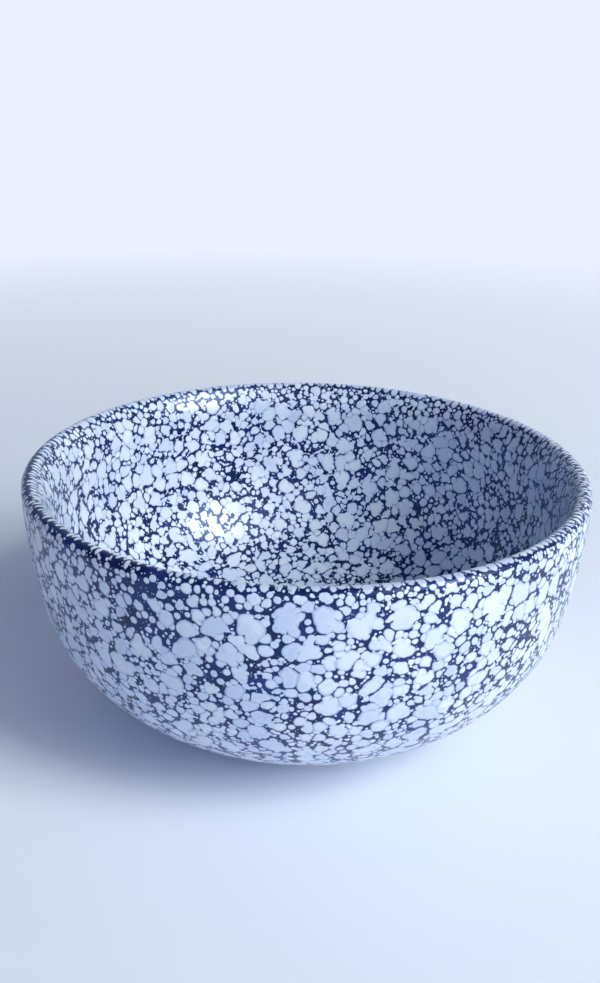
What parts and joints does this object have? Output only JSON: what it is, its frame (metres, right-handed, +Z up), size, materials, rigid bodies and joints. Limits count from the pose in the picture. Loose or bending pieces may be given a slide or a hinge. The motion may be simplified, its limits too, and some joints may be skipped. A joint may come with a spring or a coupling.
{
  "type": "snack bowl",
  "caption": "Deep round stoneware snack bowl with an upright side, a rounded lip and a low foot ring, in dark blue glaze under dense pale spatter.",
  "frame": {"origin": "on the table, in the middle of the foot ring's standing face", "axes": "+Z up along the bowl's axis; the bowl is round, so +X and +Y are any two directions across it"},
  "size_m": [0.152, 0.152, 0.072],
  "materials": {
    "stoneware": "bare fired clay, matte",
    "spatter_glaze": "satin gloss, pale blue-white droplets packed over dark blue",
    "navy_glaze": "satin gloss, dark blue"
  },
  "bodies": {
    "root": {"clay_body": "stoneware", "outside_glaze": "spatter_glaze", "inside_glaze": "spatter_glaze", "foot_well_glaze": "navy_glaze"}
  },
  "joints": []
}
